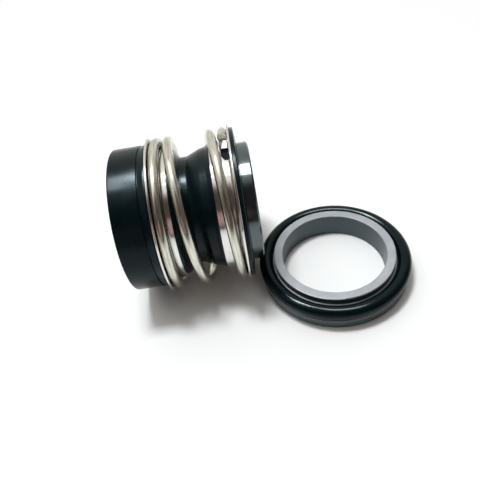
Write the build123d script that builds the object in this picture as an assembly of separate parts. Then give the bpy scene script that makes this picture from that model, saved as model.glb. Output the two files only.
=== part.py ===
from build123d import *
import math
import os

# Component mechanical seal for a 25 mm shaft. The rotary head (rubber bellows, two pressed collars,
# coil spring and lapped seal face) lies on the rims of its collars. The stationary seat, with its
# O-ring, lies beside it with its lapped face down. All sizes are in millimetres.
#
# Head outlines are (station, radius) pairs. A station is the distance along the head's axis from
# the free end of the bellows tail towards the lapped face. Angles about the head's axis start at
# the top and grow towards -Y. Seat outlines are (radius, height) pairs.

# Pressed collars, one at each end of the spring
COLLAR_RADIUS = 20.0
SHEET = 0.5
SLEEVE_BORE_RADIUS = 16.05
BEND_INSIDE_RADIUS = 0.8
TAIL_FLANGE_STATION = 9.25
TAIL_COLLAR_LENGTH = 4.15
FACE_FLANGE_STATION = 29.3
FACE_COLLAR_LENGTH = 5.4

# Drive window and lug, cut and lifted from each collar's sleeve. Offsets run from the outer face
# of the flange towards the end of the sleeve.
WINDOW_OFFSET = 0.75
WINDOW_WIDTH = 1.85
WINDOW_TIP_WIDTH = 1.0
WINDOW_SPAN = 4.4
WINDOW_TAPER = 1.5
LUG_OFFSET = 0.85
LUG_WIDTH = 1.6
LUG_TIP_WIDTH = 0.85
LUG_TIP_RADIUS = 18.5
LUG_FACE_OFFSET = 0.9

# Coil spring. The pitch is in millimetres per turn, against the angle swept from the wire's start.
WIRE_DIAMETER = 2.4
COIL_MEAN_RADIUS = 18.25
WIRE_START_ANGLE = -105.0
WIRE_END_ANGLE = -5.5
WIRE_TURNS = 3
WIRE_PITCH = [
    (0, 0),
    (220, 0),
    (255, 8.5),
    (335, 6.6),
    (385, 0),
    (470, 10.5),
    (575, 9.3),
    (685, 12.7),
    (805, 10.1),
    (860, 7.5),
    (925, 4.6),
    (1000, 0),
]
WIRE_SWEEP = 360 * WIRE_TURNS + WIRE_END_ANGLE - WIRE_START_ANGLE
SPRING_CLEARANCE = 0.02
PATH_STEP = 15.0

# Rubber bellows
SHAFT_GRIP_RADIUS = 12.4
GRIP_LENGTH = 15.2
TAIL_RADIUS = 18.2
TAIL_BAND_END = 6.85
GROOVE_RADIUS = 17.9
BEAD_RADIUS = 18.45
NECK_RADIUS = 13.7
NECK_BORE_RADIUS = 12.6
BELL_RADIUS = 15.45
BELL_BORE_RADIUS = 13.75
RIM_RADIUS = 19.05
RIM_THICKNESS = 0.95
LIP_STATION = 30.7
RUBBER_GAP = 0.04

# Lapped seal face
FACE_STATION = 33.4
FACE_BACK_STATION = 25.6
FACE_SHOULDER_STATION = 30.0
FACE_BORE_RADIUS = 13.0
FACE_CHAMFER = 0.55
FACE_NOSE_RADIUS = 15.05
FACE_BODY_RADIUS = 15.4

# Stationary seat and its O-ring
SEAT_BORE_RADIUS = 13.4
SEAT_NOSE_RADIUS = 15.75
SEAT_HEIGHT = 6.8
SEAT_LAND_RADIUS = 16.1
SEAT_LAND_HEIGHT = 5.0
SEAT_FLANGE_RADIUS = 19.15
SEAT_FLANGE_HEIGHT = 2.6
RING_SECTION = 3.6
SEAT_STATION = 51.45
SEAT_SIDE_OFFSET = 10.2

# Roundings
FINE_EDGE = 0.15
EDGE = 0.25
SOFT_EDGE = 0.4

# The origin is on the floor, at the centre of the whole object's footprint.
RING_OUTER_RADIUS = SEAT_LAND_RADIUS + RING_SECTION
ORIGIN_STATION = (SEAT_STATION + RING_OUTER_RADIUS) / 2
ORIGIN_SIDE = (COLLAR_RADIUS - SEAT_SIDE_OFFSET - RING_OUTER_RADIUS) / 2
HEAD_PLACE = Pos(-ORIGIN_STATION, -ORIGIN_SIDE, COLLAR_RADIUS)
SEAT_PLACE = Pos(SEAT_STATION - ORIGIN_STATION, -SEAT_SIDE_OFFSET - ORIGIN_SIDE, 0)


def turned(corners, axis):
    """Solid of revolution from (first, second, corner radius) triples in the XZ plane."""
    points = [(first, second) for first, second, _ in corners]
    radii = [radius for _, _, radius in corners]
    outline = FilletPolyline(*points, radius=radii, close=True)
    return revolve(Plane.XZ * make_face(outline), axis)


def plain_collar(length):
    """L-section pressing, with the outer face of its flange at station 0 and its sleeve behind."""
    outside_bend = BEND_INSIDE_RADIUS + SHEET
    corners = [
        (-length, SLEEVE_BORE_RADIUS, 0),
        (0, SLEEVE_BORE_RADIUS, outside_bend),
        (0, COLLAR_RADIUS, FINE_EDGE),
        (-SHEET, COLLAR_RADIUS, FINE_EDGE),
        (-SHEET, SLEEVE_BORE_RADIUS + SHEET, BEND_INSIDE_RADIUS),
        (-length, SLEEVE_BORE_RADIUS + SHEET, 0),
    ]
    return turned(corners, Axis.X)


def drive_window():
    """Cutter for the window that the drive lug was lifted from. One far corner is cut off aslant."""
    flange_side = -WINDOW_OFFSET
    open_side = -WINDOW_OFFSET - WINDOW_WIDTH
    near = LUG_FACE_OFFSET
    far = LUG_FACE_OFFSET - WINDOW_SPAN
    corners = [
        (flange_side, near),
        (flange_side, far),
        (flange_side - WINDOW_TIP_WIDTH, far),
        (open_side, far + WINDOW_TAPER),
        (open_side, near),
    ]
    outline = FilletPolyline(*corners, radius=EDGE, close=True)
    return Pos(0, 0, SLEEVE_BORE_RADIUS) * extrude(make_face(outline), 2 * SHEET, both=True)


def drive_lug():
    """Tapered tab that stands radially at one end of the window and stops the wire's cut end."""
    root_radius = SLEEVE_BORE_RADIUS + SHEET / 2
    flange_side = -LUG_OFFSET
    corners = [
        (flange_side, root_radius, 0),
        (flange_side, LUG_TIP_RADIUS, EDGE),
        (flange_side - LUG_TIP_WIDTH, LUG_TIP_RADIUS, EDGE),
        (flange_side - LUG_WIDTH, root_radius, 0),
    ]
    points = [(offset, radius) for offset, radius, _ in corners]
    outline = FilletPolyline(*points, radius=[rounding for *_, rounding in corners], close=True)
    return Pos(0, LUG_FACE_OFFSET + SHEET, 0) * extrude(Plane.XZ * make_face(outline), SHEET)


def collar(length):
    return plain_collar(length) - drive_window() + drive_lug()


def face_collar():
    return Pos(FACE_FLANGE_STATION, 0, 0) * collar(FACE_COLLAR_LENGTH)


def tail_collar():
    """The same pressing turned end for end, with its lug just before the start of the wire."""
    turn_to_wire = Rot(WIRE_START_ANGLE + WIRE_END_ANGLE, 0, 0)
    turned_round = Rot(0, 0, 180) * collar(TAIL_COLLAR_LENGTH)
    return Pos(TAIL_FLANGE_STATION, 0, 0) * turn_to_wire * turned_round


def rise(swept):
    """Station gained once the wire has swept an angle: the sum of its pitch up to there."""
    gained = 0
    for (start, first), (end, last) in zip(WIRE_PITCH, WIRE_PITCH[1:]):
        into_stretch = min(max(swept - start, 0), end - start)
        pitch = first + (last - first) * into_stretch / (end - start)
        gained += (first + pitch) / 2 * into_stretch / 360
    return gained


def wire_point(swept):
    """Point of the wire's centre line. The first and last coils lie closed against the flanges."""
    first = TAIL_FLANGE_STATION + SHEET + SPRING_CLEARANCE + WIRE_DIAMETER / 2
    last = FACE_FLANGE_STATION - SHEET - SPRING_CLEARANCE - WIRE_DIAMETER / 2
    station = first + (last - first) * rise(swept) / rise(WIRE_SWEEP)
    angle = math.radians(WIRE_START_ANGLE + swept)
    return (station, -COIL_MEAN_RADIUS * math.sin(angle), COIL_MEAN_RADIUS * math.cos(angle))


def coil_spring():
    steps = round(WIRE_SWEEP / PATH_STEP)
    path = Spline(*[wire_point(WIRE_SWEEP * step / steps) for step in range(steps + 1)])
    section = Plane(origin=path @ 0, z_dir=path % 0) * Circle(WIRE_DIAMETER / 2)
    return sweep(section, path=path)


def bellows():
    """One rubber moulding: tail with its shaft bore, neck, bell, and rim over the face collar."""
    grip = SLEEVE_BORE_RADIUS - RUBBER_GAP
    bend = BEND_INSIDE_RADIUS + SHEET
    tail_stop = TAIL_FLANGE_STATION - RUBBER_GAP
    rim_back = FACE_FLANGE_STATION + RUBBER_GAP
    tail = [
        (0, SHAFT_GRIP_RADIUS, SOFT_EDGE),
        (0, TAIL_RADIUS, SOFT_EDGE),
        (TAIL_BAND_END, TAIL_RADIUS, FINE_EDGE),
        (TAIL_BAND_END + 0.1, GROOVE_RADIUS, 0),
        (TAIL_BAND_END + 0.4, GROOVE_RADIUS, 0),
        (TAIL_BAND_END + 0.5, BEAD_RADIUS, FINE_EDGE),
        (tail_stop, BEAD_RADIUS, SOFT_EDGE),
        (tail_stop, grip, bend),
    ]
    waist = [
        (13.9, grip, 1.0),
        (15.95, NECK_RADIUS, 0.7),
        (17.8, NECK_RADIUS, 1.0),
        (20.9, 15.0, 2.0),
        (22.8, BELL_RADIUS, 1.0),
        (23.7, grip, SOFT_EDGE),
    ]
    rim = [
        (rim_back, grip, bend),
        (rim_back, RIM_RADIUS, 0),
        (rim_back + RIM_THICKNESS, RIM_RADIUS, SOFT_EDGE),
        (LIP_STATION, FACE_NOSE_RADIUS + RUBBER_GAP, EDGE),
    ]
    pocket = [
        (FACE_SHOULDER_STATION + RUBBER_GAP, FACE_NOSE_RADIUS + RUBBER_GAP, 0),
        (FACE_SHOULDER_STATION + RUBBER_GAP, FACE_BODY_RADIUS + RUBBER_GAP, 0),
        (FACE_BACK_STATION - RUBBER_GAP, FACE_BODY_RADIUS + RUBBER_GAP, 0),
        (FACE_BACK_STATION - RUBBER_GAP, BELL_BORE_RADIUS, EDGE),
    ]
    inside = [
        (22.3, BELL_BORE_RADIUS, 1.5),
        (19.4, 12.95, 1.5),
        (18.0, NECK_BORE_RADIUS, 1.5),
        (GRIP_LENGTH + 0.6, NECK_BORE_RADIUS, 0),
        (GRIP_LENGTH, SHAFT_GRIP_RADIUS, 0),
    ]
    return turned(tail + waist + rim + pocket + inside, Axis.X)


def seal_face():
    """Stepped ring held in the rubber pocket, with its lapped nose standing out of the rim."""
    corners = [
        (FACE_BACK_STATION, FACE_BORE_RADIUS, EDGE),
        (FACE_BACK_STATION, FACE_BODY_RADIUS, EDGE),
        (FACE_SHOULDER_STATION, FACE_BODY_RADIUS, FINE_EDGE),
        (FACE_SHOULDER_STATION, FACE_NOSE_RADIUS, 0),
        (FACE_STATION - FACE_CHAMFER, FACE_NOSE_RADIUS, FINE_EDGE),
        (FACE_STATION, FACE_NOSE_RADIUS - FACE_CHAMFER, FINE_EDGE),
        (FACE_STATION, FACE_BORE_RADIUS, FINE_EDGE),
    ]
    return turned(corners, Axis.X)


def stationary_seat():
    """Flanged ring: lapped flange face below, land for the O-ring, and a plain nose above."""
    corners = [
        (SEAT_BORE_RADIUS, 0, EDGE),
        (SEAT_FLANGE_RADIUS, 0, EDGE),
        (SEAT_FLANGE_RADIUS, SEAT_FLANGE_HEIGHT, EDGE),
        (SEAT_LAND_RADIUS, SEAT_FLANGE_HEIGHT, FINE_EDGE),
        (SEAT_LAND_RADIUS, SEAT_LAND_HEIGHT, FINE_EDGE),
        (SEAT_NOSE_RADIUS, SEAT_LAND_HEIGHT, 0),
        (SEAT_NOSE_RADIUS, SEAT_HEIGHT, EDGE),
        (SEAT_BORE_RADIUS, SEAT_HEIGHT, EDGE),
    ]
    return turned(corners, Axis.Z)


def seat_o_ring():
    radius = RING_SECTION / 2
    return Pos(0, 0, SEAT_FLANGE_HEIGHT + radius) * Torus(SEAT_LAND_RADIUS + radius, radius)


HEAD_PIECES = {
    "seal_face": seal_face,
    "bellows": bellows,
    "tail_collar": tail_collar,
    "face_collar": face_collar,
    "coil_spring": coil_spring,
}
SEAT_PIECES = {
    "stationary_seat": stationary_seat,
    "seat_o_ring": seat_o_ring,
}

os.makedirs("parts", exist_ok=True)
for name, make in HEAD_PIECES.items():
    export_step(HEAD_PLACE * make(), f"parts/{name}.step")
for name, make in SEAT_PIECES.items():
    export_step(SEAT_PLACE * make(), f"parts/{name}.step")
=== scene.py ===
import math

import bpy
import numpy as np
from mathutils import Matrix, Vector


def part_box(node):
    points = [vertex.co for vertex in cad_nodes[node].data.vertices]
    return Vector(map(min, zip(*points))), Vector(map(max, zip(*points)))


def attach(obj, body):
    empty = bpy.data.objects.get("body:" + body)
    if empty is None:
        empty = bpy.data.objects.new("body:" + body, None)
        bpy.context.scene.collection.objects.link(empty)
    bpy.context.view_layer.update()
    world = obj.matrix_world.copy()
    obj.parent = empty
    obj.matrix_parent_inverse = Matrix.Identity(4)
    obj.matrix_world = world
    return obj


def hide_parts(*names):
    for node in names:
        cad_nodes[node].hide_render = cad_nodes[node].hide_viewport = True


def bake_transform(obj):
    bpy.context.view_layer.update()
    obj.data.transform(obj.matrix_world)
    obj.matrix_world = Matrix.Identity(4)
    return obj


# A component mechanical seal on a white floor: the rotary head lies on its collars and the
# stationary seat lies beside it. Lengths are in millimetres unless a name ends in _M, and
# angles are in degrees.
#
# Head outlines are (station, radius, rounding) triples. A station is the distance along the
# head's axis from the free end of the rubber tail towards the lapped face. Angles about the
# head's axis start at the top and grow towards -Y.
#
# Noise scales are in cycles per metre, except along the wire, where they count in its own
# coordinates: its radius across it, and SWEEP_PER_STREAK along it.

MM = 0.001

# Camera: place in the row frame, viewing angles, and lens for the sensor's width
CAMERA_PLACE = (-5.05, -93.10, 104.59)
CAMERA_YAW = 1.763
CAMERA_DIP = 45.057
CAMERA_ROLL = -10.394
CAMERA_LENS = 37.5
SENSOR_WIDTH = 36
CLIP_START_M = 0.005

# Room: shades by the cosine of the angle to its bright side, then soft patches as aimed
# direction, cosines where the patch starts and is full, and colour
BRIGHT_SIDE = (-0.281, 0.455, 0.845)
ROOM_SHADES = [
    (-0.4, (0.085, 0.065, 0.057)),
    (0.28, (0.14, 0.12, 0.108)),
    (0.5, (0.29, 0.26, 0.24)),
    (0.65, (0.52, 0.50, 0.465)),
    (0.8, (0.92, 0.91, 0.87)),
    (0.95, (1.2, 1.2, 1.18)),
]
ROOM_PATCHES = [
    ((0.046, 0.984, 0.174), 0.3, 0.926, (0.82, 0.81, 0.76)),
    ((0.0, -0.707, 0.707), 0.80, 0.97, (0.075, 0.055, 0.048)),
    ((-0.199, -0.935, 0.292), 0.95, 0.99, (0.42, 0.27, 0.26)),
]

# Lamps: name, place, target, size and watts
KEY_LAMP = ("key", (-55, 52, 400), (-55, 52, 0), (100, 70), 1.03)
GLINT_LAMP = ("glint", (-25, 85, 400), (-25, 85, 0), (300, 150), 3.05)
GLINT_CORE_LAMP = ("glint_core", (-58, 108, 395), (-58, 108, 0), (60, 65), 0.9)
SHEEN_LAMP = ("sheen", (-57, 85, 400), (-57, 85, 0), (235, 150), 0.4)

# Floor: its size and colour, and the distances over which it fades to white for the camera
FLOOR_SIZE_M = 4
FLOOR_ROUGHNESS = 0.9
FLOOR_COLOUR = (0.955, 0.985, 1)
FLOOR_FADE_M = (0.09, 0.22)

# Drive lug of the face collar: its tip leans back under the wire's cut end, about a root given
# as a radius and an angle
LUG_ANGLES = (-7, -1)
LUG_ROOT = (16.5, -3.6)
LUG_TIP_RADIUS = 17.2
LUG_LAST_STATION = 28.6
LUG_LEAN = 65.0

# Colours
RUBBER_DARK = (0.0008, 0.004, 0.0055)
RUBBER_LIGHT = (0.0016, 0.0065, 0.0085)
CARBON_DARK = (0.003, 0.006, 0.009)
CARBON_LIGHT = (0.005, 0.009, 0.013)
CERAMIC_DARK = (0.30, 0.315, 0.34)
CERAMIC_LIGHT = (0.35, 0.365, 0.395)
# Painted shade: the seat's sides and bore, darker than its lapped top
CERAMIC_SHADED_SIDES = (0.038, 0.055, 0.062)
WIRE_DARK = (0.50, 0.48, 0.41)
WIRE_LIGHT = (0.77, 0.765, 0.69)
STEEL_DARK = (0.72, 0.71, 0.69)
STEEL_LIGHT = (0.80, 0.79, 0.77)
TEAL_GLOSS = (0.72, 0.92, 1)
PALE_GLOSS = (0.8, 0.95, 1)
WHITE = (1, 1, 1, 1)

# Finishes: a span is the stretch of a texture's values over which a finish changes, and a spread
# is how far the roughness strays from its mean
TINT_SPAN = (0.35, 0.65)
VARIATION_SPAN = (0.3, 0.7)
RUBBER_GRAIN_SCALE = 5200
RUBBER_PATCH_SCALE = 220
RUBBER_SHINE = 0.17
RUBBER_BUMP_M = 0.0000015
RUBBER_SPREAD = (-0.03, 0.05)
BELLOWS_ROUGHNESS = 0.22
O_RING_ROUGHNESS = 0.13
STEEL_MARK_SCALE = 900
STEEL_MARK_STRETCH = (6, 1, 1)
STEEL_ROUGHNESS = (0.09, 0.16)
STEEL_BUMP_M = 0.000002
WIRE_STREAK_SCALE = 2.6
WIRE_PATCH_SCALE = 400
WIRE_ROUGHNESS = (0.17, 0.26)
LAPPED_CLOUD_SCALE = 380
LAPPED_GRAIN_SCALE = 6500
LAPPED_BUMP_M = 0.000002
LAPPED_SPREAD = (-0.03, 0.04)
CARBON_ROUGHNESS = 0.12
CARBON_REFRACTION = 2.1
CERAMIC_ROUGHNESS = 0.35
CERAMIC_REFRACTION = 1.6

# Rubber bellows
TAIL_BORE_RADIUS = 12.4
TAIL_RADIUS = 18.2
TAIL_BAND_END = 6.85
GROOVE_RADIUS = 17.9
GROOVE_START = TAIL_BAND_END + 0.12
GROOVE_END = TAIL_BAND_END + 0.3
BEAD_START = TAIL_BAND_END + 1.6
BEAD_RADIUS = 18.45
COLLAR_CLEARANCE = 0.04
SLEEVE_BORE_RADIUS = 16.01
SLEEVE_BEND_RADIUS = 1.3
SLEEVE_EXIT = 13.9
NECK_RADIUS = 13.7
NECK_START = 15.95
NECK_END = 17.8
SHOULDER_RADIUS = 15.0
SHOULDER_STATION = 20.9
BELL_RADIUS = 15.45
BELL_STATION = 22.8
BELL_END = 23.7
RIM_RADIUS = 19.05
RIM_THICKNESS = 0.95
LIP_LENGTH = 1.36
POCKET_MOUTH_RADIUS = 15.09
POCKET_RADIUS = 15.44
POCKET_FLOOR = 25.56
POCKET_SHOULDER = 30.04
BELL_BORE_RADIUS = 13.75
BELL_BORE_START = 22.3
FLARE_RADIUS = 12.95
FLARE_STATION = 19.4
NECK_BORE_RADIUS = 12.6
NECK_BORE_END = 18.0
GRIP_LENGTH = 15.2
GRIP_EASE = 0.6

# Turned meshes
TURNING_STEPS = 240
ARC_STEP = 9
SHARP_ANGLE = 30

# Lapped face ring
FACE_RING_BORE = 13.0
FACE_RING_BODY = 15.4
FACE_RING_NOSE = 15.05
FACE_RING_SHOULDER = 30.0
FACE_RING_CHAMFER = 0.4

# O-ring
RING_SIDES = 48

# Coil spring. The pitch is in millimetres per turn, against the angle swept from the wire's start.
WIRE_DIAMETER = 2.4
WIRE_START_ANGLE = -105.0
WIRE_END_ANGLE = -5.5
WIRE_TURNS = 3
WIRE_PITCH = [
    (0, 0),
    (220, 0),
    (255, 8.5),
    (335, 6.6),
    (385, 0),
    (470, 10.5),
    (575, 9.3),
    (685, 12.7),
    (805, 10.1),
    (860, 7.5),
    (925, 4.6),
    (1000, 0),
]
WIRE_SWEEP = 360 * WIRE_TURNS + WIRE_END_ANGLE - WIRE_START_ANGLE
LUG_ROOM = 5.2
SWEEP_SEEN = WIRE_SWEEP - LUG_ROOM
WIRE_RINGS = 560
WIRE_SIDES = 36
WIRE_CUT_EDGE = 0.12
SWEEP_PER_STREAK = 40.0
SWEEP_HELD_BY_TAIL = 360.0
SWEEP_HELD_BY_FACE = WIRE_SWEEP - 360.0


def vector_m(point):
    """A point in millimetres as a vector in metres."""
    return Vector(point) * MM


# Placing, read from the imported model


def head_frame():
    """Axis height, axis side and place of station 0, and the collars' stations."""
    bellows_low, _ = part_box("bellows")
    tail_low, tail_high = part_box("tail_collar")
    face_low, face_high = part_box("face_collar")
    centre = (face_low + face_high) / 2
    start = bellows_low.x
    return {
        "start": start / MM,
        "side": centre.y / MM,
        "height": centre.z / MM,
        "tail_flange": (tail_low.x - start) / MM,
        "tail_sleeve_end": (tail_high.x - start) / MM,
        "face_sleeve_end": (face_low.x - start) / MM,
        "face_flange": (face_high.x - start) / MM,
    }


def head_point(head, station, radius, angle):
    """Point in metres from a station, a radius and an angle in radians."""
    side = head["side"] - radius * math.sin(angle)
    height = head["height"] + radius * math.cos(angle)
    return vector_m((head["start"] + station, side, height))


# Outlines and meshes


def arc_points(before, corner, after, radius):
    """Points of the arc that rounds one corner of an outline."""
    corner = Vector(corner)
    back = (Vector(before) - corner).normalized()
    ahead = (Vector(after) - corner).normalized()
    half_angle = back.angle(ahead) / 2
    if radius == 0 or half_angle > math.radians(89):
        return [tuple(corner)]
    reach = radius / math.tan(half_angle)
    centre = corner + (back + ahead).normalized() * (radius / math.sin(half_angle))
    first = corner + back * reach - centre
    last = corner + ahead * reach - centre
    turn = math.pi - 2 * half_angle
    steps = max(3, round(turn / math.radians(ARC_STEP)))
    cross = first.x * last.y - first.y * last.x
    step = math.copysign(turn / steps, cross)
    return [tuple(centre + Matrix.Rotation(step * i, 2) @ first) for i in range(steps + 1)]


def rounded_outline(corners):
    """Closed outline from (first, second, rounding) corners."""
    points = []
    count = len(corners)
    for i, (first, second, radius) in enumerate(corners):
        before = corners[i - 1][:2]
        after = corners[(i + 1) % count][:2]
        points += arc_points(before, (first, second), after, radius)
    return points


def mesh_object(name, points, faces):
    """Smooth object in the scene, with sharp edges where its faces turn."""
    mesh = bpy.data.meshes.new(name)
    mesh.from_pydata(points, [], faces)
    mesh.validate()
    mesh.polygons.foreach_set("use_smooth", [True] * len(mesh.polygons))
    mesh.set_sharp_from_angle(angle=math.radians(SHARP_ANGLE))
    piece = bpy.data.objects.new(name, mesh)
    bpy.context.scene.collection.objects.link(piece)
    return piece


def ring_faces(rings, sides, closed):
    """Quads between neighbouring rings of points."""
    faces = []
    for i in range(rings if closed else rings - 1):
        here = i * sides
        ahead = ((i + 1) % rings) * sides
        for j in range(sides):
            k = (j + 1) % sides
            faces.append((here + j, here + k, ahead + k, ahead + j))
    return faces


def turned_piece(name, head, outline):
    """Solid of revolution about the head's axis."""
    points = []
    for i in range(TURNING_STEPS):
        angle = -2 * math.pi * i / TURNING_STEPS
        points += [head_point(head, station, radius, angle) for station, radius in outline]
    return mesh_object(name, points, ring_faces(TURNING_STEPS, len(outline), True))


def round_ring(name, node):
    """Smooth torus the size of a packed ring that lies flat."""
    low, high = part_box(node)
    section_radius = (high.z - low.z) / 2
    bpy.ops.mesh.primitive_torus_add(
        location=(low + high) / 2,
        major_radius=(high.x - low.x) / 2 - section_radius,
        minor_radius=section_radius,
        major_segments=TURNING_STEPS,
        minor_segments=RING_SIDES,
    )
    ring = bpy.context.object
    ring.name = name
    ring.data.polygons.foreach_set("use_smooth", [True] * len(ring.data.polygons))
    return ring


def bellows_outline(head):
    """One rubber moulding, from the tail over the neck and bell to the rim and its pocket."""
    stop = head["tail_flange"] - COLLAR_CLEARANCE
    rim_back = head["face_flange"] + COLLAR_CLEARANCE
    tail = [
        (0, TAIL_BORE_RADIUS, 0.4),
        (0, TAIL_RADIUS, 0.4),
        (TAIL_BAND_END, TAIL_RADIUS, 0.15),
        (GROOVE_START, GROOVE_RADIUS, 0),
        (GROOVE_END, GROOVE_RADIUS, 0),
        (BEAD_START, BEAD_RADIUS, 0.3),
        (stop, BEAD_RADIUS, 0.4),
        (stop, SLEEVE_BORE_RADIUS, SLEEVE_BEND_RADIUS),
    ]
    waist = [
        (SLEEVE_EXIT, SLEEVE_BORE_RADIUS, 1.0),
        (NECK_START, NECK_RADIUS, 0.7),
        (NECK_END, NECK_RADIUS, 1.0),
        (SHOULDER_STATION, SHOULDER_RADIUS, 2.0),
        (BELL_STATION, BELL_RADIUS, 1.0),
        (BELL_END, SLEEVE_BORE_RADIUS, 0.4),
    ]
    rim = [
        (rim_back, SLEEVE_BORE_RADIUS, SLEEVE_BEND_RADIUS),
        (rim_back, RIM_RADIUS, 0.1),
        (rim_back + RIM_THICKNESS, RIM_RADIUS, 0.4),
        (rim_back + LIP_LENGTH, POCKET_MOUTH_RADIUS, 0.25),
    ]
    pocket = [
        (POCKET_SHOULDER, POCKET_MOUTH_RADIUS, 0),
        (POCKET_SHOULDER, POCKET_RADIUS, 0),
        (POCKET_FLOOR, POCKET_RADIUS, 0),
        (POCKET_FLOOR, BELL_BORE_RADIUS, 0.25),
    ]
    inside = [
        (BELL_BORE_START, BELL_BORE_RADIUS, 1.5),
        (FLARE_STATION, FLARE_RADIUS, 1.5),
        (NECK_BORE_END, NECK_BORE_RADIUS, 1.5),
        (GRIP_LENGTH + GRIP_EASE, NECK_BORE_RADIUS, 0),
        (GRIP_LENGTH, TAIL_BORE_RADIUS, 0),
    ]
    return rounded_outline(tail + waist + rim + pocket + inside)


def face_ring_outline(head):
    """Lapped ring: the body held in the rubber, and the nose that stands out of it."""
    low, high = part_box("seal_face")
    back = low.x / MM - head["start"]
    front = high.x / MM - head["start"]
    corners = [
        (back, FACE_RING_BORE, 0.2),
        (back, FACE_RING_BODY, 0.2),
        (FACE_RING_SHOULDER, FACE_RING_BODY, 0.05),
        (FACE_RING_SHOULDER, FACE_RING_NOSE, 0),
        (front - FACE_RING_CHAMFER, FACE_RING_NOSE, 0.08),
        (front, FACE_RING_NOSE - FACE_RING_CHAMFER, 0.08),
        (front, FACE_RING_BORE, 0.1),
    ]
    return rounded_outline(corners)


def rise(swept):
    """Station gained once the wire has swept an angle: the sum of its pitch up to there."""
    gained = 0
    for (start, first), (end, last) in zip(WIRE_PITCH, WIRE_PITCH[1:]):
        into_stretch = min(max(swept - start, 0), end - start)
        pitch = first + (last - first) * into_stretch / (end - start)
        gained += (first + pitch) / 2 * into_stretch / 360
    return gained


def wire_line(head):
    """Function from swept angle to the wire's centre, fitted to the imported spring's ends."""
    low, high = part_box("coil_spring")
    half_wire = WIRE_DIAMETER / 2
    first = low.x / MM - head["start"] + half_wire
    last = high.x / MM - head["start"] - half_wire
    mean_radius = (high.z - low.z) / MM / 2 - half_wire

    def centre(swept):
        station = first + (last - first) * rise(swept) / rise(WIRE_SWEEP)
        return head_point(head, station, mean_radius, math.radians(WIRE_START_ANGLE + swept))

    return centre


def wire_ring(head, centre, swept, radius, along):
    """One ring of points square to the wire, moved along it for a rounded cut edge."""
    place = centre(swept)
    ahead = (centre(swept + 0.5) - centre(swept - 0.5)).normalized()
    axis_place = vector_m((0, head["side"], head["height"]))
    outward = Vector((0, place.y - axis_place.y, place.z - axis_place.z))
    outward = (outward - ahead * outward.dot(ahead)).normalized()
    across = ahead.cross(outward)
    ring = []
    for i in range(WIRE_SIDES):
        angle = 2 * math.pi * i / WIRE_SIDES
        offset = outward * math.cos(angle) + across * math.sin(angle)
        ring.append(place + offset * radius * MM + ahead * along * MM)
    return ring


def coil_spring(head):
    """Round wire up to where it is seen to end, with flat cut ends, and each point's sweep."""
    centre = wire_line(head)
    half_wire = WIRE_DIAMETER / 2
    stops = [(0, half_wire - WIRE_CUT_EDGE, 0), (0, half_wire, WIRE_CUT_EDGE)]
    stops += [(SWEEP_SEEN * i / WIRE_RINGS, half_wire, 0) for i in range(1, WIRE_RINGS)]
    stops += [(SWEEP_SEEN, half_wire, -WIRE_CUT_EDGE), (SWEEP_SEEN, half_wire - WIRE_CUT_EDGE, 0)]
    points = []
    swept_at_point = []
    wire_places = []
    turns_round_wire = [2 * math.pi * i / WIRE_SIDES for i in range(WIRE_SIDES)]
    for swept, radius, along in stops:
        points += wire_ring(head, centre, swept, radius, along)
        swept_at_point += [swept] * WIRE_SIDES
        length = swept / SWEEP_PER_STREAK
        wire_places += [(math.cos(a), math.sin(a), length) for a in turns_round_wire]
    faces = ring_faces(len(stops), WIRE_SIDES, False)
    last_ring = (len(stops) - 1) * WIRE_SIDES
    faces.append(tuple(reversed(range(WIRE_SIDES))))
    faces.append(tuple(range(last_ring, last_ring + WIRE_SIDES)))
    spring = mesh_object("spring_wire", points, faces)
    place_on_wire = spring.data.attributes.new("place_on_wire", "FLOAT_VECTOR", "POINT")
    place_on_wire.data.foreach_set("vector", np.array(wire_places, np.float32).ravel())
    return spring, swept_at_point


def blend_along_wire(swept_at_point):
    """Each point's share of the way from the turns held by the tail to those held by the face,
    from 0 to 1; it is worked out and not kept.
    """
    open_sweep = SWEEP_HELD_BY_FACE - SWEEP_HELD_BY_TAIL
    share = (np.array(swept_at_point) - SWEEP_HELD_BY_TAIL) / open_sweep
    share = np.clip(share, 0, 1)


def is_lug_tip(head, place):
    """Whether a point in metres lies on the free end of the face collar's lug."""
    station = place.x / MM - head["start"]
    side = head["side"] - place.y / MM
    height = place.z / MM - head["height"]
    angle = math.degrees(math.atan2(side, height))
    beyond_sleeve = math.hypot(side, height) > LUG_TIP_RADIUS and station < LUG_LAST_STATION
    return beyond_sleeve and LUG_ANGLES[0] < angle < LUG_ANGLES[1]


def collar_with_leaning_lug(head, collar):
    """Copy of the face collar with its lug leaning back, as in the photograph."""
    mesh = collar.data.copy()
    piece = bpy.data.objects.new("pressed_face_collar", mesh)
    bpy.context.scene.collection.objects.link(piece)
    mesh.transform(collar.matrix_world)
    root_radius, root_angle = LUG_ROOT
    root = head_point(head, 0, root_radius, math.radians(root_angle))
    lean = Matrix.Rotation(-math.radians(LUG_LEAN), 3, "X")
    for vertex in mesh.vertices:
        if is_lug_tip(head, vertex.co):
            vertex.co = root + lean @ (vertex.co - root)
    normals = mesh.attributes.get("custom_normal")
    if normals:
        mesh.attributes.remove(normals)
    mesh.set_sharp_from_angle(angle=math.radians(SHARP_ANGLE))
    return piece


# Materials


def new_material(name):
    """Material with nodes, and its nodes, links and main shader."""
    material = bpy.data.materials.new(name)
    material.use_nodes = True
    nodes = material.node_tree.nodes
    return material, nodes, material.node_tree.links, nodes["Principled BSDF"]


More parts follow.
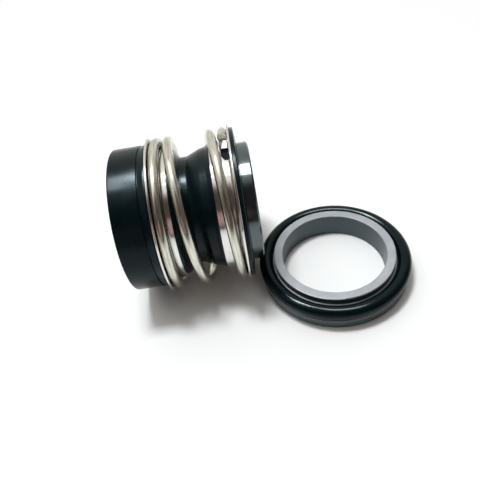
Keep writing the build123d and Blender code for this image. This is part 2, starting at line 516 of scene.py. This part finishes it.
def noise(nodes, links, scale, detail, stretch=(1, 1, 1)):
    """Noise in the row frame's metres, stretched along chosen axes."""
    place = nodes.new("ShaderNodeTexCoord")
    mapping = nodes.new("ShaderNodeMapping")
    mapping.inputs["Scale"].default_value = stretch
    links.new(place.outputs["Object"], mapping.inputs["Vector"])
    texture = nodes.new("ShaderNodeTexNoise")
    texture.inputs["Scale"].default_value = scale
    texture.inputs["Detail"].default_value = detail
    links.new(mapping.outputs["Vector"], texture.inputs["Vector"])
    return texture


def varied(nodes, links, source, low, high, target):
    """Drive a socket with a texture, from a low value to a high one."""
    span = nodes.new("ShaderNodeMapRange")
    span.inputs["From Min"].default_value = VARIATION_SPAN[0]
    span.inputs["From Max"].default_value = VARIATION_SPAN[1]
    span.inputs["To Min"].default_value = low
    span.inputs["To Max"].default_value = high
    links.new(source.outputs["Fac"], span.inputs["Value"])
    links.new(span.outputs["Result"], target)


def tinted(nodes, links, source, dark, light, target):
    """Colour between two tints, picked by a texture."""
    ramp = nodes.new("ShaderNodeValToRGB")
    for stop, position, colour in zip(ramp.color_ramp.elements, TINT_SPAN, (dark, light)):
        stop.position = position
        stop.color = (*colour, 1)
    links.new(source.outputs["Fac"], ramp.inputs["Fac"])
    links.new(ramp.outputs["Color"], target)


def bumped(nodes, links, source, depth_m, shader):
    """Relief of a given depth from a texture."""
    bump = nodes.new("ShaderNodeBump")
    bump.inputs["Distance"].default_value = depth_m
    links.new(source.outputs["Fac"], bump.inputs["Height"])
    links.new(bump.outputs["Normal"], shader.inputs["Normal"])


def rubber_material(name, roughness, gloss):
    """Moulded rubber: near black, satin, with a faint grain and patchy gloss."""
    material, nodes, links, shader = new_material(name)
    grain = noise(nodes, links, RUBBER_GRAIN_SCALE, detail=3)
    patches = noise(nodes, links, RUBBER_PATCH_SCALE, detail=4)
    shader.inputs["Specular IOR Level"].default_value = RUBBER_SHINE
    shader.inputs["Specular Tint"].default_value = (*gloss, 1)
    tinted(nodes, links, patches, RUBBER_DARK, RUBBER_LIGHT, shader.inputs["Base Color"])
    smooth, rough = (roughness + change for change in RUBBER_SPREAD)
    varied(nodes, links, patches, smooth, rough, shader.inputs["Roughness"])
    bumped(nodes, links, grain, RUBBER_BUMP_M, shader)
    return material


def stainless_material():
    """Bright pressed sheet with fine drawing marks round the collar."""
    material, nodes, links, shader = new_material("pressed_stainless")
    shader.inputs["Metallic"].default_value = 1
    marks = noise(nodes, links, STEEL_MARK_SCALE, detail=5, stretch=STEEL_MARK_STRETCH)
    tinted(nodes, links, marks, STEEL_DARK, STEEL_LIGHT, shader.inputs["Base Color"])
    varied(nodes, links, marks, *STEEL_ROUGHNESS, shader.inputs["Roughness"])
    bumped(nodes, links, marks, STEEL_BUMP_M, shader)
    return material


def wire_material():
    """Warm bright drawn wire, with dark drawing streaks along it and soft patches."""
    material, nodes, links, shader = new_material("spring_wire")
    shader.inputs["Metallic"].default_value = 1
    place = nodes.new("ShaderNodeAttribute")
    place.attribute_name = "place_on_wire"
    streaks = nodes.new("ShaderNodeTexNoise")
    streaks.inputs["Scale"].default_value = WIRE_STREAK_SCALE
    streaks.inputs["Detail"].default_value = 6
    links.new(place.outputs["Vector"], streaks.inputs["Vector"])
    patches = noise(nodes, links, WIRE_PATCH_SCALE, detail=4)
    tinted(nodes, links, streaks, WIRE_DARK, WIRE_LIGHT, shader.inputs["Base Color"])
    varied(nodes, links, patches, *WIRE_ROUGHNESS, shader.inputs["Roughness"])
    return material


def lapped_material(name, dark, light, roughness, refraction):
    """Fine dense grey body with a smooth lapped or ground finish."""
    material, nodes, links, shader = new_material(name)
    shader.inputs["IOR"].default_value = refraction
    shader.inputs["Specular Tint"].default_value = (*PALE_GLOSS, 1)
    clouds = noise(nodes, links, LAPPED_CLOUD_SCALE, detail=5)
    grain = noise(nodes, links, LAPPED_GRAIN_SCALE, detail=2)
    tinted(nodes, links, clouds, dark, light, shader.inputs["Base Color"])
    smooth, rough = (roughness + change for change in LAPPED_SPREAD)
    varied(nodes, links, clouds, smooth, rough, shader.inputs["Roughness"])
    bumped(nodes, links, grain, LAPPED_BUMP_M, shader)
    return material


def paint_shade_on_sides(material, colour):
    """Paint the sides and the bore darker than the lapped face on top, by which way each surface
    faces: painted shade.
    """
    nodes = material.node_tree.nodes
    links = material.node_tree.links
    shader = nodes["Principled BSDF"]
    lapped = shader.inputs["Base Color"].links[0].from_socket
    surface = nodes.new("ShaderNodeTexCoord")
    facing = nodes.new("ShaderNodeSeparateXYZ")
    links.new(surface.outputs["Normal"], facing.inputs["Vector"])
    # Painted shade: the colour darkens the less the surface faces up
    finish = nodes.new("ShaderNodeMix")
    finish.data_type = "RGBA"
    finish.inputs["A"].default_value = (*colour, 1)
    links.new(facing.outputs["Z"], finish.inputs["Factor"])
    links.new(lapped, finish.inputs["B"])
    links.new(finish.outputs["Result"], shader.inputs["Base Color"])


def give_material(piece, material):
    """Make this the piece's only material."""
    piece.data.materials.clear()
    piece.data.materials.append(material)


# Stage


def add_camera():
    """The photograph's camera."""
    yaw, dip, roll = (math.radians(a) for a in (CAMERA_YAW, CAMERA_DIP, CAMERA_ROLL))
    level_right = Vector((math.cos(yaw), math.sin(yaw), 0))
    level_forward = Vector((-math.sin(yaw), math.cos(yaw), 0))
    forward = level_forward * math.cos(dip) - Vector((0, 0, math.sin(dip)))
    upright = level_right.cross(forward)
    right = level_right * math.cos(roll) + upright * math.sin(roll)
    up = upright * math.cos(roll) - level_right * math.sin(roll)
    data = bpy.data.cameras.new("camera")
    data.lens = CAMERA_LENS
    data.sensor_width = SENSOR_WIDTH
    data.clip_start = CLIP_START_M
    camera = bpy.data.objects.new("camera", data)
    bpy.context.scene.collection.objects.link(camera)
    turn = Matrix((right, up, -forward)).transposed().to_4x4()
    camera.matrix_world = Matrix.Translation(vector_m(CAMERA_PLACE)) @ turn
    bpy.context.scene.camera = camera


def share_towards(nodes, links, aim, start, full, curve):
    """0 far from the aimed direction and 1 near it, between two cosines of the angle to it."""
    direction = nodes.new("ShaderNodeTexCoord")
    cosine = nodes.new("ShaderNodeVectorMath")
    cosine.operation = "DOT_PRODUCT"
    cosine.inputs[1].default_value = aim
    links.new(direction.outputs["Generated"], cosine.inputs[0])
    span = nodes.new("ShaderNodeMapRange")
    span.interpolation_type = curve
    span.inputs["From Min"].default_value = start
    span.inputs["From Max"].default_value = full
    links.new(cosine.outputs["Value"], span.inputs["Value"])
    return span.outputs["Result"]


def add_shades(nodes, links):
    """The room's shades, from its dark side to its bright one."""
    shade = nodes.new("ShaderNodeValToRGB")
    stops = shade.color_ramp.elements
    for _ in range(len(ROOM_SHADES) - len(stops)):
        stops.new(0.5)
    first = ROOM_SHADES[0][0]
    last = ROOM_SHADES[-1][0]
    for stop, (cosine, colour) in zip(stops, ROOM_SHADES):
        stop.position = (cosine - first) / (last - first)
        stop.color = (*colour, 1)
    links.new(share_towards(nodes, links, BRIGHT_SIDE, first, last, "LINEAR"), shade.inputs["Fac"])
    room = nodes["Background"]
    links.new(shade.outputs["Color"], room.inputs["Color"])
    return room.outputs["Background"]


def add_patch(nodes, links, room, share, colour):
    """Lay a soft patch of another colour over the room."""
    patch = nodes.new("ShaderNodeBackground")
    patch.inputs["Color"].default_value = (*colour, 1)
    choice = nodes.new("ShaderNodeMixShader")
    links.new(share, choice.inputs["Fac"])
    links.new(room, choice.inputs[1])
    links.new(patch.outputs["Background"], choice.inputs[2])
    return choice.outputs["Shader"]


def add_world():
    """Room that is bright above and behind on the left, and dim and warm towards the camera.

    The camera itself sees plain white.
    """
    world = bpy.data.worlds.new("world")
    bpy.context.scene.world = world
    world.use_nodes = True
    nodes = world.node_tree.nodes
    links = world.node_tree.links
    room = add_shades(nodes, links)
    for aim, start, full, colour in ROOM_PATCHES:
        share = share_towards(nodes, links, aim, start, full, "SMOOTHSTEP")
        room = add_patch(nodes, links, room, share, colour)
    backdrop = nodes.new("ShaderNodeBackground")
    backdrop.inputs["Color"].default_value = WHITE
    rays = nodes.new("ShaderNodeLightPath")
    choice = nodes.new("ShaderNodeMixShader")
    links.new(rays.outputs["Is Camera Ray"], choice.inputs["Fac"])
    links.new(room, choice.inputs[1])
    links.new(backdrop.outputs["Background"], choice.inputs[2])
    links.new(choice.outputs["Shader"], nodes["World Output"].inputs["Surface"])


def add_light(name, place, target, size, watts):
    """Rectangular lamp that faces its target."""
    data = bpy.data.lights.new(name, "AREA")
    data.shape = "RECTANGLE"
    data.size = size[0] * MM
    data.size_y = size[1] * MM
    data.energy = watts
    lamp = bpy.data.objects.new(name, data)
    bpy.context.scene.collection.objects.link(lamp)
    lamp.location = vector_m(place)
    facing = vector_m(target) - vector_m(place)
    lamp.rotation_euler = facing.to_track_quat("-Z", "Y").to_euler()
    return lamp


def shine_only_on(lamp, pieces):
    """Keep a highlight to some pieces, so that bright metal isn't burnt out by it."""
    receivers = bpy.data.collections.new(lamp.name + "_receivers")
    for piece in pieces:
        receivers.objects.link(piece)
    lamp.light_linking.receiver_collection = receivers


def whiten_far_floor(nodes, links, shader):
    """The camera sees the floor fade to plain white away from the object and its shadow."""
    place = nodes.new("ShaderNodeTexCoord")
    distance = nodes.new("ShaderNodeVectorMath")
    distance.operation = "LENGTH"
    links.new(place.outputs["Object"], distance.inputs[0])
    fade = nodes.new("ShaderNodeMapRange")
    fade.interpolation_type = "SMOOTHSTEP"
    fade.inputs["From Min"].default_value = FLOOR_FADE_M[0]
    fade.inputs["From Max"].default_value = FLOOR_FADE_M[1]
    links.new(distance.outputs["Value"], fade.inputs["Value"])
    rays = nodes.new("ShaderNodeLightPath")
    seen = nodes.new("ShaderNodeMath")
    seen.operation = "MULTIPLY"
    links.new(rays.outputs["Is Camera Ray"], seen.inputs[0])
    links.new(fade.outputs["Result"], seen.inputs[1])
    white = nodes.new("ShaderNodeEmission")
    white.inputs["Color"].default_value = WHITE
    choice = nodes.new("ShaderNodeMixShader")
    links.new(seen.outputs["Value"], choice.inputs["Fac"])
    links.new(shader.outputs["BSDF"], choice.inputs[1])
    links.new(white.outputs["Emission"], choice.inputs[2])
    links.new(choice.outputs["Shader"], nodes["Material Output"].inputs["Surface"])


def add_floor():
    """Plain pale floor under the object."""
    bpy.ops.mesh.primitive_plane_add(size=FLOOR_SIZE_M)
    floor = bpy.context.object
    floor.name = "floor"
    material, nodes, links, shader = new_material("floor")
    shader.inputs["Base Color"].default_value = (*FLOOR_COLOUR, 1)
    shader.inputs["Roughness"].default_value = FLOOR_ROUGHNESS
    shader.inputs["Specular IOR Level"].default_value = 0
    whiten_far_floor(nodes, links, shader)
    give_material(floor, material)


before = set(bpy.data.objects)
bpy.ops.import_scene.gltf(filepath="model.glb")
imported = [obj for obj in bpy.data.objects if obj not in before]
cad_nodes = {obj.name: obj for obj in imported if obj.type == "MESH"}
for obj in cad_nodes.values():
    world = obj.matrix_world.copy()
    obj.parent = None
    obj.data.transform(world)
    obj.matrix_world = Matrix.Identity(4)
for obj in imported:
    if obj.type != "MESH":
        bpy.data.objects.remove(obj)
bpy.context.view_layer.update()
bpy.context.scene.view_settings.view_transform = "Standard"
add_camera()
add_world()
key = add_light(*KEY_LAMP)
key.visible_glossy = False
glint = add_light(*GLINT_LAMP)
core = add_light(*GLINT_CORE_LAMP)
sheen = add_light(*SHEEN_LAMP)
for lamp in (glint, core, sheen):
    lamp.visible_diffuse = False
add_floor()

head = head_frame()
rubber = rubber_material("moulded_rubber", BELLOWS_ROUGHNESS, TEAL_GLOSS)
ring_rubber = rubber_material("ring_rubber", O_RING_ROUGHNESS, PALE_GLOSS)
stainless = stainless_material()
wire = wire_material()
carbon_finish = (CARBON_DARK, CARBON_LIGHT, CARBON_ROUGHNESS, CARBON_REFRACTION)
carbon = lapped_material("carbon_face", *carbon_finish)
ceramic_finish = (CERAMIC_DARK, CERAMIC_LIGHT, CERAMIC_ROUGHNESS, CERAMIC_REFRACTION)
ceramic = lapped_material("lapped_ceramic", *ceramic_finish)
# Painted shade on the seat's sides and bore
paint_shade_on_sides(ceramic, CERAMIC_SHADED_SIDES)

bellows = turned_piece("rubber_bellows", head, bellows_outline(head))
give_material(bellows, rubber)
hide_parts("bellows")
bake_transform(bellows)

spring, swept_at_point = coil_spring(head)
give_material(spring, wire)
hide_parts("coil_spring")
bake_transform(spring)
blend_along_wire(swept_at_point)

face_ring = turned_piece("lapped_face_ring", head, face_ring_outline(head))
give_material(face_ring, carbon)
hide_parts("seal_face")
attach(face_ring, "face_unit")

face_collar = collar_with_leaning_lug(head, cad_nodes["face_collar"])
give_material(face_collar, stainless)
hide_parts("face_collar")
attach(face_collar, "face_unit")

give_material(cad_nodes["tail_collar"], stainless)
give_material(cad_nodes["stationary_seat"], ceramic)

seat_ring = round_ring("rubber_o_ring", "seat_o_ring")
give_material(seat_ring, ring_rubber)
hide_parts("seat_o_ring")
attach(seat_ring, "tail_unit")

dark_pieces = [bellows, face_ring, cad_nodes["stationary_seat"], seat_ring]
shine_only_on(glint, dark_pieces)
shine_only_on(core, dark_pieces)
shine_only_on(sheen, [spring, face_collar, cad_nodes["tail_collar"]])
